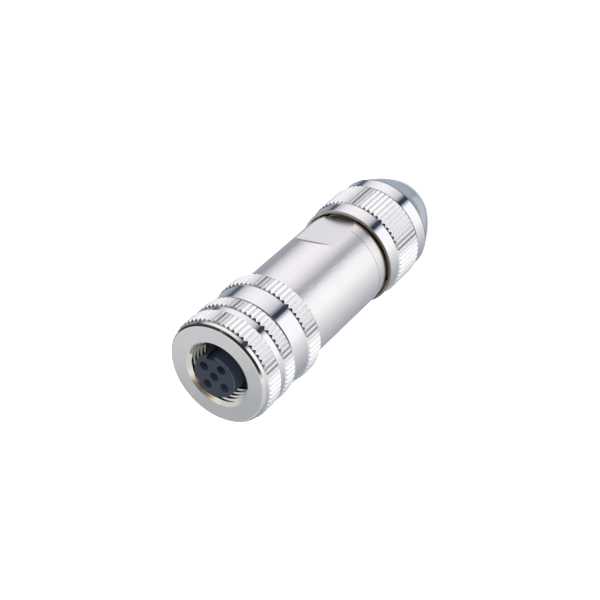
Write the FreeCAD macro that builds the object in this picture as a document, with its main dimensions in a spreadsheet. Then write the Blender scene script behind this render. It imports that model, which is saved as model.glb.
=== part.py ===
"""M12 connector: field-wireable, screened, five-socket cable connector.

The connector stands on the flat end of its pressing nut, with the socket face up.
Part frame: origin at the centre of the cable end, +Z along the axis towards the
socket face, +X towards the key slot of the insert. All sizes are in millimetres.
"""
import FreeCAD, Part
import Sketcher
import math
import os
import re

V = FreeCAD.Vector

# Every independent size of the connector. Radii are measured from the common axis.
SIZES = {
    # Lengths along the axis, from the cable end to the socket face
    "nut_len": 19.45,
    "nut_gap": 0.05,
    "shell_len": 23.7,
    "head_gap": 0.1,
    "head_knurl_len": 3.75,
    "head_band_len": 4.05,
    "ring_gap": 0.1,
    "ring_len": 8.8,
    "nose_proud": 0.7,
    # Straight knurls: V grooves with bevelled tooth ends
    "tooth_count": 64,
    "tooth_height": 0.35,
    "tooth_land": 0.12,
    "root_step": 0.03,
    "knurl_bevel": 0.4,
    # Coupling nut
    "band_radius": 9.65,
    "ring_rear_knurl": 2.9,
    "ring_groove_len": 1.2,
    "ring_front_knurl": 3.6,
    "ring_edge": 0.4,
    "thread_radius": 5.46,
    "mouth_bevel": 0.84,
    "relief_radius": 5.9,
    "relief_len": 2.9,
    "hub_len": 1.1,
    "slip_len": 0.5,
    "slip_radius": 5.6,
    "slip_split": 1.0,
    "ring_travel": 0.8,
    "lift_clear": 0.1,
    # Insert, its bushing and the face seal
    "nose_radius": 4.1,
    "nose_edge": 0.25,
    "key_width": 1.6,
    "key_depth": 0.7,
    "insert_radius": 3.9,
    "bush_radius": 4.6,
    "bush_flange_radius": 5.2,
    "bush_flange_len": 1.0,
    "hub_clear": 0.3,
    "face_seal_section": 0.55,
    "seal_fit": 0.02,
    # Contacts and terminal block
    "contact_circle": 2.5,
    "contact_radius": 0.75,
    "contact_bore": 0.5,
    "contact_bore_len": 6.0,
    "contact_recess": 1.8,
    "lead_in_radius": 0.85,
    "contact_fit": 0.03,
    "barrel_radius": 1.25,
    "wire_bore": 0.8,
    "wire_end_gap": 0.3,
    "outer_socket_len": 10.9,
    "outer_barrel_len": 10.0,
    "centre_socket_len": 21.5,
    "centre_barrel_len": 3.8,
    "block_radius": 5.95,
    "block_len": 16.1,
    "wire_guide_radius": 0.85,
    "screw_radius": 0.75,
    "screw_len": 2.6,
    "screw_bite": 0.6,
    "screw_slot": 0.35,
    "screw_fit": 0.05,
    "outer_screw_height": 3.0,
    "centre_screw_height": 1.9,
    # Carrier sleeve
    "head_step": 0.05,
    "head_edge": 0.15,
    "head_web_len": 1.9,
    "head_bore_radius": 6.3,
    "head_neck_radius": 7.55,
    "head_neck_len": 6.1,
    "head_seal_section": 0.4,
    "head_seal_clear": 0.15,
    "seal_groove_start": 0.25,
    "thread_clear": 0.3,
    # Shell
    "shell_radius": 8.95,
    "shell_lip_radius": 8.75,
    "shell_lip_len": 0.95,
    "shell_lip_round": 0.15,
    "shell_tail_step": 0.05,
    "shell_tail_len": 2.1,
    "shell_edge": 0.12,
    "flat_half_width": 8.0,
    "flat_len": 8.65,
    "flat_run_out": 1.8,
    "shell_bore_radius": 6.9,
    "shell_bore_len": 11.0,
    "shell_throat_radius": 6.4,
    "neck_radius": 7.85,
    "neck_floor_gap": 0.6,
    "neck_edge": 0.4,
    # Screen clamp and spacer
    "screen_len": 4.5,
    "screen_wall": 0.5,
    "screen_tip_radius": 4.5,
    "screen_skirt": 0.45,
    "finger_count": 8,
    "finger_slot": 0.9,
    "spacer_len": 5.0,
    "spacer_wall": 1.6,
    # Gland: seal, washer and clamping cage
    "gland_clear": 0.35,
    "stack_clear": 0.3,
    "seal_bore_radius": 3.75,
    "seal_edge": 0.8,
    "washer_len": 0.8,
    "cage_bore_radius": 4.5,
    "cage_ring_len": 2.0,
    "cage_len": 7.7,
    "cage_lift": 1.7,
    "cage_clear": 0.35,
    "cage_slot": 0.9,
    # Pressing nut
    "nut_flat_radius": 5.9,
    "nut_tail_edge": 0.3,
    "nut_dome_len": 6.6,
    "nut_dome_edge": 0.2,
    "nut_dome_radius": 24.0,
    "nut_rear_band": 3.15,
    "nut_knurl_len": 6.8,
    "nut_front_edge": 0.15,
    "outlet_radius": 4.2,
    "outlet_len": 2.0,
    "cone_radius": 7.0,
    "cone_len": 5.0,
    "floor_rise": 0.6,
    "nut_rebate_step": 0.85,
    "nut_rebate_wall": 0.5,
    "nut_rebate_len": 1.95,
}

# Heights of the pieces in the part frame, written in the sheet's names
SHELL_Z = "(nut_len + nut_gap)"
HEAD_Z = "(%s + shell_len + head_gap)" % SHELL_Z
RING_Z = "(%s + head_knurl_len + head_band_len + ring_gap)" % HEAD_Z
FACE_Z = "(%s + ring_len)" % RING_Z
SLIP_Z = "(%s + hub_len + lift_clear)" % RING_Z
FLANGE_Z = "(%s + slip_len + ring_travel + lift_clear)" % SLIP_Z
BLOCK_TOP_Z = "(%s + head_knurl_len + head_band_len - head_web_len - lift_clear)" % HEAD_Z
CONTACT_Z = "(%s + nose_proud - contact_recess)" % FACE_Z
CAGE_Z = "(outlet_len + cage_lift)"
WASHER_Z = "(%s + cage_len)" % CAGE_Z
SEAL_Z = "(%s + washer_len)" % WASHER_Z
SCREEN_Z = "(%s + shell_bore_len)" % SHELL_Z
NUT_FLOOR_Z = "(outlet_len + cone_len)"

SEAL_LEN = "(%s - screen_len - spacer_len - stack_clear - %s)" % (SCREEN_Z, SEAL_Z)
NECK_LEN = "(%s - %s - floor_rise - neck_floor_gap)" % (SHELL_Z, NUT_FLOOR_Z)
GLAND_RAD = "(shell_bore_radius - gland_clear)"
OUTER_SCREW_Z = "(%s - outer_socket_len - outer_barrel_len + outer_screw_height)" % CONTACT_Z
CENTRE_SCREW_Z = "(%s - centre_socket_len - centre_barrel_len + centre_screw_height)" % CONTACT_Z
CORNERS = {"contact_1": 45, "contact_2": 135, "contact_3": 225, "contact_4": 315}
HUB_BORE = "(bush_radius + hub_clear)"
NUT_BORE = "(neck_radius + thread_clear)"
NUT_REBATE = "(%s + nut_rebate_step)" % NUT_BORE
NUT_BAND = "(%s + nut_rebate_wall)" % NUT_REBATE
HEAD_BAND = "(band_radius + head_step)"
GROOVE_RAD = "(head_neck_radius + thread_clear - head_seal_clear - 2 * head_seal_section)"
FUNCTIONS = ("cos", "sin", "tan", "pi", "deg")


def sheet_formula(text):
    """Point every size name in a formula at the spreadsheet."""
    def point(match):
        word = match.group(0)
        return word if word in FUNCTIONS else "Dims." + word
    return re.sub(r"[a-z_]+", point, text)


def value_of(obj, text):
    """Present value of a formula in millimetres."""
    found = obj.evalExpression(sheet_formula(text))
    return float(getattr(found, "Value", found))


def tie(obj, prop, text):
    """Bind one property to a formula of the spreadsheet."""
    obj.setExpression(prop, sheet_formula(text))


def make_sheet(doc):
    sheet = doc.addObject("Spreadsheet::Sheet", "Dims")
    for row, (name, number) in enumerate(SIZES.items(), start=1):
        sheet.set("A%d" % row, name)
        sheet.set("B%d" % row, str(number))
        sheet.setAlias("B%d" % row, name)
    doc.recompute()
    return sheet


def make_body(doc, label, height=None):
    """A body named after its node, lifted to a height of the part frame."""
    body = doc.addObject("PartDesign::Body", label)
    body.Label = label
    if height:
        tie(body, "Placement.Base.z", height)
    return body


def origin_item(body, role):
    for item in body.Origin.OriginFeatures:
        if item.Role == role:
            return item
    raise ValueError("no origin item " + role)


def add_sketch(body, name, plane, lift=None):
    sketch = body.newObject("Sketcher::SketchObject", name)
    sketch.AttachmentSupport = [(origin_item(body, plane), "")]
    sketch.MapMode = "FlatFace"
    if lift:
        tie(sketch, "AttachmentOffset.Base.z", lift)
    return sketch


def pin_point(sketch, index, place, texts):
    """Fix one end of a line by its two coordinates."""
    for kind, axis, text in (("DistanceX", -2, texts[0]), ("DistanceY", -1, texts[1])):
        if text == "0":
            sketch.addConstraint(Sketcher.Constraint("PointOnObject", index, place, axis))
            continue
        at = value_of(sketch, text)
        number = sketch.addConstraint(Sketcher.Constraint(kind, index, place, at))
        tie(sketch, "Constraints[%d]" % number, text)


def arc_between(start, end, radius, side):
    """Arc from start to end whose centre lies on one side of the chord."""
    chord = end - start
    middle = start + chord * 0.5
    reach = math.sqrt(radius ** 2 - (chord.Length / 2) ** 2)
    normal = V(-chord.y, chord.x, 0).normalize() * side
    centre = middle + normal * reach
    crest = centre + (middle - centre).normalize() * radius
    return Part.Arc(start, crest, end)


def outline(sketch, points):
    """Closed outline through the points, each a pair of formulas.

    A point may add a radius and a side: the stretch that arrives there is an arc.
    """
    spots = [V(value_of(sketch, p[0]), value_of(sketch, p[1]), 0) for p in points]
    count = len(points)
    curves = []
    for i in range(count):
        target = points[(i + 1) % count]
        start, end = spots[i], spots[(i + 1) % count]
        if len(target) == 4:
            radius = value_of(sketch, target[2])
            curves.append(arc_between(start, end, radius, target[3]))
        else:
            curves.append(Part.LineSegment(start, end))
    sketch.addGeometry(curves, False)
    starts = []
    ends = []
    for i, curve in enumerate(sketch.Geometry):
        first = curve.StartPoint
        forward = (first - spots[i]).Length < 1e-6
        starts.append(1 if forward else 2)
        ends.append(2 if forward else 1)
    for i in range(count):
        after = (i + 1) % count
        sketch.addConstraint(Sketcher.Constraint("Coincident", i, ends[i], after, starts[after]))
    for i in range(count):
        pin_point(sketch, i, starts[i], points[i])
        target = points[(i + 1) % count]
        if len(target) == 4:
            radius = value_of(sketch, target[2])
            number = sketch.addConstraint(Sketcher.Constraint("Radius", i, radius))
            tie(sketch, "Constraints[%d]" % number, target[2])


def circle(sketch, x_text, y_text, radius_text):
    centre = V(value_of(sketch, x_text), value_of(sketch, y_text), 0)
    radius = value_of(sketch, radius_text)
    index = sketch.addGeometry(Part.Circle(centre, V(0, 0, 1), radius), False)
    number = sketch.addConstraint(Sketcher.Constraint("Radius", index, radius))
    tie(sketch, "Constraints[%d]" % number, radius_text)
    pin_point(sketch, index, 3, (x_text, y_text))


def turned(body, points):
    """Turn an outline about the body's own Z axis."""
    sketch = add_sketch(body, body.Label + "_outline", "XZ_Plane")
    outline(sketch, points)
    turn = body.newObject("PartDesign::Revolution", body.Label + "_turned")
    turn.Profile = sketch
    turn.ReferenceAxis = (sketch, ["V_Axis"])
    turn.Angle = 360
    sketch.Visibility = False
    body.Document.recompute()
    return turn


def pocket(body, sketch, name, length, reverse=False):
    """Cut a sketch into the body and make sure that it removes material."""
    before = body.Shape.Volume
    cut = body.newObject("PartDesign::Pocket", name)
    cut.Profile = sketch
    tie(cut, "Length", length)
    cut.Reversed = reverse
    sketch.Visibility = False
    body.Document.recompute()
    if cut.Shape.isNull() or cut.Shape.Volume > before - 1e-6:
        raise ValueError(name + " removes nothing")
    return cut


def ring_pattern(body, feature, name, count):
    """Repeat one cut around the body's axis."""
    pattern = body.newObject("PartDesign::PolarPattern", name)
    pattern.Originals = [feature]
    pattern.Axis = (origin_item(body, "Z_Axis"), [""])
    pattern.Angle = 360
    tie(pattern, "Occurrences", count)
    body.Tip = pattern
    body.Document.recompute()
    return pattern


def knurl(body, name, top, length, band):
    """Straight V knurl: one groove between two teeth, repeated around the axis."""
    tip = "(%s + tooth_height)" % band
    root = "(%s + root_step)" % band
    outer = "(%s + tooth_height)" % tip
    gap = "(pi * %s / tooth_count - tooth_land / 2)" % tip
    spread = "(%s * (%s - %s) / (%s - %s))" % (gap, outer, root, tip, root)
    sketch = add_sketch(body, name + "_groove", "XY_Plane", top)
    outline(sketch, [(root, "0"), (outer, spread), (outer, "-" + spread)])
    groove = pocket(body, sketch, name + "_cut", length)
    return ring_pattern(body, groove, name, "tooth_count")


def coupling_nut(doc):
    """Knurled nut with the internal M12 x 1 thread, left smooth at its crest size."""
    body = make_body(doc, "coupling_nut", RING_Z)
    tip = "(band_radius + tooth_height)"
    rear_end = "ring_rear_knurl"
    front_start = "(ring_rear_knurl + ring_groove_len)"
    front_end = "(ring_rear_knurl + ring_groove_len + ring_front_knurl)"
    turned(body, [
        (HUB_BORE, "0"),
        ("band_radius", "0"),
        (tip, "knurl_bevel"),
        (tip, "(%s - knurl_bevel)" % rear_end),
        ("band_radius", rear_end),
        ("band_radius", front_start),
        (tip, "(%s + knurl_bevel)" % front_start),
        (tip, "(%s - knurl_bevel)" % front_end),
        ("band_radius", front_end),
        ("band_radius", "(ring_len - ring_edge)"),
        ("(band_radius - ring_edge)", "ring_len"),
        ("(thread_radius + mouth_bevel)", "ring_len"),
        ("thread_radius", "(ring_len - mouth_bevel)"),
        ("thread_radius", "(hub_len + relief_len)"),
        ("relief_radius", "(hub_len + relief_len - relief_radius + thread_radius)"),
        ("relief_radius", "hub_len"),
        (HUB_BORE, "hub_len"),
    ])
    knurl(body, "rear_knurl", rear_end, "ring_rear_knurl", "band_radius")
    knurl(body, "front_knurl", front_end, "ring_front_knurl", "band_radius")
    return body


def carrier_sleeve(doc):
    """Head sleeve: smooth band and knurl outside, web in front, threaded neck behind."""
    body = make_body(doc, "carrier_sleeve", HEAD_Z)
    tip = "(%s + tooth_height)" % HEAD_BAND
    front = "(head_knurl_len + head_band_len)"
    groove_low = "(1.5 * seal_groove_start + 2 * head_seal_section)"
    turned(body, [
        ("head_bore_radius", "-head_neck_len"),
        ("(head_neck_radius - knurl_bevel)", "-head_neck_len"),
        ("head_neck_radius", "-(head_neck_len - knurl_bevel)"),
        ("head_neck_radius", "-" + groove_low),
        (GROOVE_RAD, "-" + groove_low),
        (GROOVE_RAD, "-seal_groove_start"),
        ("head_neck_radius", "-seal_groove_start"),
        ("head_neck_radius", "0"),
        (HEAD_BAND, "0"),
        (tip, "knurl_bevel"),
        (tip, "(head_knurl_len - knurl_bevel)"),
        (HEAD_BAND, "head_knurl_len"),
        (HEAD_BAND, "(%s - head_edge)" % front),
        ("(%s - head_edge)" % HEAD_BAND, front),
        (HUB_BORE, front),
        (HUB_BORE, "(%s - head_web_len)" % front),
        ("head_bore_radius", "(%s - head_web_len)" % front),
    ])
    knurl(body, "head_knurl", "head_knurl_len", "head_knurl_len", HEAD_BAND)
    return body


def seal_ring(doc, label, height, rim, section):
    """Moulded rubber ring with bevelled corners around a rim radius."""
    body = make_body(doc, label, height)
    inner = "(%s + seal_fit)" % rim
    outer = "(%s + 2 * %s)" % (rim, section)
    low = "(%s / 2)" % section
    turned(body, [
        (inner, low),
        ("(%s + %s / 2)" % (inner, section), "0"),
        ("(%s - %s / 2)" % (outer, section), "0"),
        (outer, low),
        (outer, "(1.5 * %s)" % section),
        ("(%s - %s / 2)" % (outer, section), "(2 * %s)" % section),
        ("(%s + %s / 2)" % (inner, section), "(2 * %s)" % section),
        (inner, "(1.5 * %s)" % section),
    ])
    return body


def front_bushing(doc):
    """Flanged tube that holds the insert and keeps the coupling nut on."""
    body = make_body(doc, "front_bushing", BLOCK_TOP_Z)
    flange = "(%s - %s)" % (FLANGE_Z, BLOCK_TOP_Z)
    top = "(%s + bush_flange_len)" % flange
    turned(body, [
        ("insert_radius", "0"),
        ("bush_radius", "0"),
        ("bush_radius", flange),
        ("bush_flange_radius", flange),
        ("bush_flange_radius", top),
        ("insert_radius", top),
    ])
    return body


def nut_snap_ring(doc):
    """Split spring ring that rides on the hub of the coupling nut, under the flange."""
    body = make_body(doc, "nut_snap_ring", SLIP_Z)
    turned(body, [
        (HUB_BORE, "0"),
        ("slip_radius", "0"),
        ("slip_radius", "slip_len"),
        (HUB_BORE, "slip_len"),
    ])
    sketch = add_sketch(body, "split_outline", "XY_Plane", "slip_len")
    outline(sketch, [
        ("-2 * slip_radius", "-slip_split / 2"),
        ("-bush_radius / 2", "-slip_split / 2"),
        ("-bush_radius / 2", "slip_split / 2"),
        ("-2 * slip_radius", "slip_split / 2"),
    ])
    pocket(body, sketch, "split", "slip_len")
    return body


def contact_insert(doc):
    """Plastic insert: keyed nose with five socket holes, body inside the bushing."""
    body = make_body(doc, "contact_insert", BLOCK_TOP_Z)
    shoulder = "(%s + bush_flange_len - %s)" % (FLANGE_Z, BLOCK_TOP_Z)
    top = "(%s + nose_proud - %s)" % (FACE_Z, BLOCK_TOP_Z)
    turned(body, [
        ("0", "0"),
        ("insert_radius", "0"),
        ("insert_radius", shoulder),
        ("nose_radius", shoulder),
        ("nose_radius", "(%s - nose_edge)" % top),
        ("(nose_radius - nose_edge)", top),
        ("0", top),
    ])
    key = add_sketch(body, "key_slot_outline", "XY_Plane", top)
    outline(key, [
        ("(nose_radius - key_depth)", "-key_width / 2"),
        ("(nose_radius + key_depth)", "-key_width / 2"),
        ("(nose_radius + key_depth)", "key_width / 2"),
        ("(nose_radius - key_depth)", "key_width / 2"),
    ])
    pocket(body, key, "key_slot", "(%s - %s)" % (top, shoulder))
    for name, radius, depth in (("socket_entries", "lead_in_radius", "contact_recess"),
                                ("socket_bores", "(contact_radius + contact_fit)", top)):
        sketch = add_sketch(body, name + "_outline", "XY_Plane", top)
        circle(sketch, "0", "0", radius)
        for sign_x in ("", "-"):
            for sign_y in ("", "-"):
                offset = "contact_circle * cos(45 deg)"
                circle(sketch, sign_x + offset, sign_y + offset, radius)
        if name == "socket_bores":
            tie(sketch, "AttachmentOffset.Base.z", "(%s - contact_recess)" % top)
        pocket(body, sketch, name, depth)
    return body


def contact(doc, label, angle, reach, socket_len, barrel_len, screw_height):
    """Turned contact: socket tube in front, clamping barrel with a screw hole behind."""
    body = make_body(doc, label, CONTACT_Z)
    body.Placement.Rotation = FreeCAD.Rotation(V(0, 0, 1), angle)
    tie(body, "Placement.Base.x", "%s * cos(%d deg)" % (reach, angle))
    tie(body, "Placement.Base.y", "%s * sin(%d deg)" % (reach, angle))
    end = "(%s + %s)" % (socket_len, barrel_len)
    wire_end = "(%s - %s - screw_radius - wire_end_gap)" % (end, screw_height)
    turned(body, [
        ("contact_bore", "0"),
        ("contact_radius", "0"),
        ("contact_radius", "-" + socket_len),
        ("barrel_radius", "-" + socket_len),
        ("barrel_radius", "-" + end),
        ("wire_bore", "-" + end),
        ("wire_bore", "-" + wire_end),
        ("0", "-(%s - wire_bore)" % wire_end),
        ("0", "-(contact_bore_len + contact_bore)"),
        ("contact_bore", "-contact_bore_len"),
    ])
    hole = add_sketch(body, label + "_screw_hole", "YZ_Plane")
    circle(hole, "0", "-(%s - %s)" % (end, screw_height), "screw_radius")
    pocket(body, hole, label + "_screw_cut", "2 * barrel_radius", reverse=True)
    return body


def terminal_block(doc):
    """Plastic block behind the insert, with barrel chambers and screw holes."""
    body = make_body(doc, "terminal_block", BLOCK_TOP_Z)
    turned(body, [
        ("0", "-block_len"),
        ("(block_radius - knurl_bevel)", "-block_len"),
        ("block_radius", "-(block_len - knurl_bevel)"),
        ("block_radius", "0"),
        ("0", "0"),
    ])
    offset = "contact_circle * cos(45 deg)"
    outer_floor = "(%s - %s + outer_socket_len + outer_barrel_len)" % (BLOCK_TOP_Z, CONTACT_Z)
    centre_roof = "(%s - %s + centre_socket_len)" % (BLOCK_TOP_Z, CONTACT_Z)
    chambers = add_sketch(body, "outer_chambers_outline", "XY_Plane")
    guides = add_sketch(body, "wire_guides_outline", "XY_Plane", "-" + outer_floor)
    for sign_x in ("", "-"):
        for sign_y in ("", "-"):
            circle(chambers, sign_x + offset, sign_y + offset, "barrel_radius")
            circle(guides, sign_x + offset, sign_y + offset, "wire_guide_radius")
    pocket(body, chambers, "outer_chambers", outer_floor)
    pocket(body, guides, "wire_guides", "(block_len - %s)" % outer_floor)
    stem = add_sketch(body, "centre_stem_outline", "XY_Plane")
    circle(stem, "0", "0", "contact_radius")
    pocket(body, stem, "centre_stem", centre_roof)
    well = add_sketch(body, "centre_chamber_outline", "XY_Plane", "-" + centre_roof)
    circle(well, "0", "0", "barrel_radius")
    pocket(body, well, "centre_chamber", "(block_len - %s)" % centre_roof)
    side = add_sketch(body, "centre_screw_outline", "YZ_Plane")
    circle(side, "0", "(%s - %s)" % (CENTRE_SCREW_Z, BLOCK_TOP_Z), "(screw_radius + screw_fit)")
    pocket(body, side, "centre_screw_hole", "(2 * block_radius)", reverse=True)
    tool = add_sketch(body, "outer_screw_outline", "YZ_Plane")
    tool.AttachmentOffset = FreeCAD.Placement(V(0, 0, 0), FreeCAD.Rotation(V(0, 1, 0), 45))
    circle(tool, "0", "(%s - %s)" % (OUTER_SCREW_Z, BLOCK_TOP_Z), "(screw_radius + screw_fit)")
    first = pocket(body, tool, "outer_screw_hole", "(2 * block_radius)", reverse=True)
    ring_pattern(body, first, "outer_screw_holes", "4")
    return body


def terminal_screws(doc):
    """Five slotted set screws, one for each contact."""
    places = [(angle, "contact_circle", OUTER_SCREW_Z) for angle in CORNERS.values()]
    places.append((0, "0", CENTRE_SCREW_Z))
    screws = []
    for number, (angle, reach, height) in enumerate(places, start=1):
        start = "(%s + screw_bite)" % reach
        direction = V(math.cos(math.radians(angle)), math.sin(math.radians(angle)), 0)
        turn = FreeCAD.Rotation(V(0, 0, 1), direction)
        stem = doc.addObject("Part::Cylinder", "screw_stem_%d" % number)
        tie(stem, "Radius", "screw_radius")
        tie(stem, "Height", "screw_len")
        slot = doc.addObject("Part::Box", "screw_slot_%d" % number)
        tie(slot, "Length", "4 * screw_radius")
        tie(slot, "Width", "screw_slot")
        tie(slot, "Height", "screw_len")
        tie(slot, "Placement.Base.x", "-2 * screw_radius")
        tie(slot, "Placement.Base.y", "-screw_slot / 2")
        tie(slot, "Placement.Base.z", "screw_len - screw_slot")
        screw = doc.addObject("Part::Cut", "screw_%d" % number)
        screw.Base = stem
        screw.Tool = slot
        screw.Placement.Rotation = turn
        tie(screw, "Placement.Base.x", "%s * cos(%d deg)" % (start, angle))
        tie(screw, "Placement.Base.y", "%s * sin(%d deg)" % (start, angle))
        tie(screw, "Placement.Base.z", height)
        screws.append(screw)
    group = doc.addObject("Part::Compound", "terminal_screws")
    group.Label = "terminal_screws"
    group.Links = screws
    doc.recompute()
    return group


def edges_on_circle(shape, radius, height):
    """Names of the circular edges with one radius at one height."""
    names = []
    for number, edge in enumerate(shape.Edges, start=1):
        curve = edge.Curve
        if not isinstance(curve, Part.Circle):
            continue
        if abs(curve.Radius - radius) < 1e-4 and abs(curve.Center.z - height) < 1e-4:
            names.append("Edge%d" % number)
    return names


def shell(doc):
    """Satin shell with two wrench flats, a tapered tail and a threaded neck."""
    body = make_body(doc, "shell", SHELL_Z)
    counter = "(head_neck_radius + thread_clear)"
    floor = "(shell_len - head_neck_len - stack_clear)"
    turn = turned(body, [
        ("shell_bore_radius", "-" + NECK_LEN),
        ("(neck_radius - neck_edge)", "-" + NECK_LEN),
        ("neck_radius", "-(%s - neck_edge)" % NECK_LEN),
        ("neck_radius", "0"),
        ("shell_lip_radius", "0"),
        ("shell_lip_radius", "shell_lip_len"),
        ("(shell_lip_radius + shell_tail_step)", "shell_lip_len"),
        ("shell_radius", "(shell_lip_len + shell_tail_len)"),
        ("shell_radius", "(shell_len - shell_edge)"),
        ("(shell_radius - shell_edge)", "shell_len"),
        (counter, "shell_len"),
        (counter, floor),
        ("shell_throat_radius", floor),
        ("shell_throat_radius", "shell_bore_len"),
        ("shell_bore_radius", "shell_bore_len"),
    ])
    rim = edges_on_circle(turn.Shape, value_of(body, "shell_lip_radius"), 0.0)
    lip = body.newObject("PartDesign::Fillet", "shell_lip_rounding")
    lip.Base = (turn, rim)
    tie(lip, "Radius", "shell_lip_round")
    doc.recompute()
    wide = "(2 * shell_radius)"
    sketch = add_sketch(body, "wrench_flat_outline", "XZ_Plane", "shell_radius")
    rise = "(shell_radius - flat_half_width)"
    outline(sketch, [
        ("flat_half_width", "-knurl_bevel"),
        (wide, "-knurl_bevel"),
        (wide, "(flat_len + flat_run_out * (%s - flat_half_width) / %s)" % (wide, rise)),
        ("flat_half_width", "flat_len"),
    ])
    flat = pocket(body, sketch, "wrench_flat", wide)
    ring_pattern(body, flat, "wrench_flats", "2")
    return body


def screen_clamp(doc):
    """Ring with inward fingers that grips the cable screen against the shell."""
    body = make_body(doc, "screen_clamp", SCREEN_Z)
    wall = "(shell_bore_radius - screen_wall)"
    turned(body, [
        ("shell_bore_radius", "-screen_len"),
        ("shell_bore_radius", "0"),
        ("(%s - screen_wall)" % wall, "0"),
        ("screen_tip_radius", "-(screen_len - screen_wall)"),
        ("screen_tip_radius", "-screen_len"),
        ("(%s - screen_wall)" % wall, "-screen_skirt * 2"),
        (wall, "-screen_skirt * 2"),
        (wall, "-screen_len"),
    ])
    sketch = add_sketch(body, "screen_slot_outline", "XY_Plane", "-screen_skirt * 2")
    outline(sketch, [
        ("screen_tip_radius / 2", "-finger_slot / 2"),
        (wall, "-finger_slot / 2"),
        (wall, "finger_slot / 2"),
        ("screen_tip_radius / 2", "finger_slot / 2"),
    ])
    slot = pocket(body, sketch, "screen_slot", "screen_len")
    ring_pattern(body, slot, "screen_slots", "finger_count")
    return body


def spacer_sleeve(doc):
    """Plastic sleeve pressed into the shell under the screen clamp."""
    body = make_body(doc, "spacer_sleeve", "(%s - screen_len)" % SCREEN_Z)
    inner = "(shell_bore_radius - spacer_wall)"
    turned(body, [
        (inner, "-spacer_len"),
        ("shell_bore_radius", "-spacer_len"),
        ("shell_bore_radius", "0"),
        (inner, "0"),
    ])
    return body


def gland_seal(doc):
    """Rubber sealing sleeve around the cable."""
    body = make_body(doc, "gland_seal", SEAL_Z)
    turned(body, [
        ("seal_bore_radius", "seal_edge"),
        ("(seal_bore_radius + seal_edge)", "0"),
        ("(%s - seal_edge)" % GLAND_RAD, "0"),
        (GLAND_RAD, "seal_edge"),
        (GLAND_RAD, "(%s - seal_edge)" % SEAL_LEN),
        ("(%s - seal_edge)" % GLAND_RAD, SEAL_LEN),
        ("(seal_bore_radius + seal_edge)", SEAL_LEN),
        ("seal_bore_radius", "(%s - seal_edge)" % SEAL_LEN),
    ])
    return body


def thrust_washer(doc):
    """Flat washer between the clamping cage and the seal."""
    body = make_body(doc, "thrust_washer", WASHER_Z)
    turned(body, [
        ("cage_bore_radius", "0"),
        (GLAND_RAD, "0"),
        (GLAND_RAD, "washer_len"),
        ("cage_bore_radius", "washer_len"),
    ])
    return body


def clamping_cage(doc):
    """Slotted plastic cage whose fingers stand in the cone of the pressing nut."""
    body = make_body(doc, "clamping_cage", CAGE_Z)
    outer = "(%s - screw_fit)" % GLAND_RAD
    slope = "((cone_radius - outlet_radius) / cone_len)"
    tip = "(outlet_radius + cage_lift * %s - cage_clear)" % slope
    turned(body, [
        ("cage_bore_radius", "0"),
        (tip, "0"),
        (outer, "((%s - %s) / %s)" % (outer, tip, slope)),
        (outer, "cage_len"),
        ("cage_bore_radius", "cage_len"),
    ])
    sketch = add_sketch(body, "cage_slot_outline", "XY_Plane", "(cage_len - cage_ring_len)")
    outline(sketch, [
        ("cage_bore_radius / 2", "-cage_slot / 2"),
        ("shell_bore_radius", "-cage_slot / 2"),
        ("shell_bore_radius", "cage_slot / 2"),
        ("cage_bore_radius / 2", "cage_slot / 2"),
    ])
    slot = pocket(body, sketch, "cage_slot_cut", "cage_len")
    ring_pattern(body, slot, "cage_slots", "finger_count")
    return body


def pressing_nut(doc):
    """Pressing nut: knurled grip, domed tail and the cable outlet."""
    body = make_body(doc, "pressing_nut")
    tip = "(%s + tooth_height)" % NUT_BAND
    knurl_low = "(nut_dome_len + nut_rear_band)"
    knurl_high = "(%s + nut_knurl_len)" % knurl_low
    turned(body, [
        ("outlet_radius", "0"),
        ("nut_flat_radius", "0"),
        ("(nut_flat_radius + nut_tail_edge)", "nut_tail_edge"),
        ("(%s - nut_dome_edge)" % NUT_BAND, "nut_dome_len", "nut_dome_radius", 1),
        (NUT_BAND, "(nut_dome_len + nut_dome_edge)"),
        (NUT_BAND, knurl_low),
        (tip, "(%s + knurl_bevel)" % knurl_low),
        (tip, "(%s - knurl_bevel)" % knurl_high),
        (NUT_BAND, knurl_high),
        (NUT_BAND, "(nut_len - nut_front_edge)"),
        ("(%s - nut_front_edge)" % NUT_BAND, "nut_len"),
        (NUT_REBATE, "nut_len"),
        (NUT_REBATE, "(nut_len - nut_rebate_len)"),
        (NUT_BORE, "(nut_len - nut_rebate_len - nut_rebate_step)"),
        (NUT_BORE, "(%s + floor_rise)" % NUT_FLOOR_Z),
        ("cone_radius", NUT_FLOOR_Z),
        ("outlet_radius", "outlet_len"),
    ])
    knurl(body, "nut_knurl", knurl_high, "nut_knurl_len", NUT_BAND)
    return body


def make_contacts(doc):
    """Four contacts on the circle and the longer one in the centre."""
    outer = ("outer_socket_len", "outer_barrel_len", "outer_screw_height")
    centre = ("centre_socket_len", "centre_barrel_len", "centre_screw_height")
    found = [contact(doc, label, angle, "contact_circle", *outer)
             for label, angle in CORNERS.items()]
    found.append(contact(doc, "contact_5", 0, "0", *centre))
    return found


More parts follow.
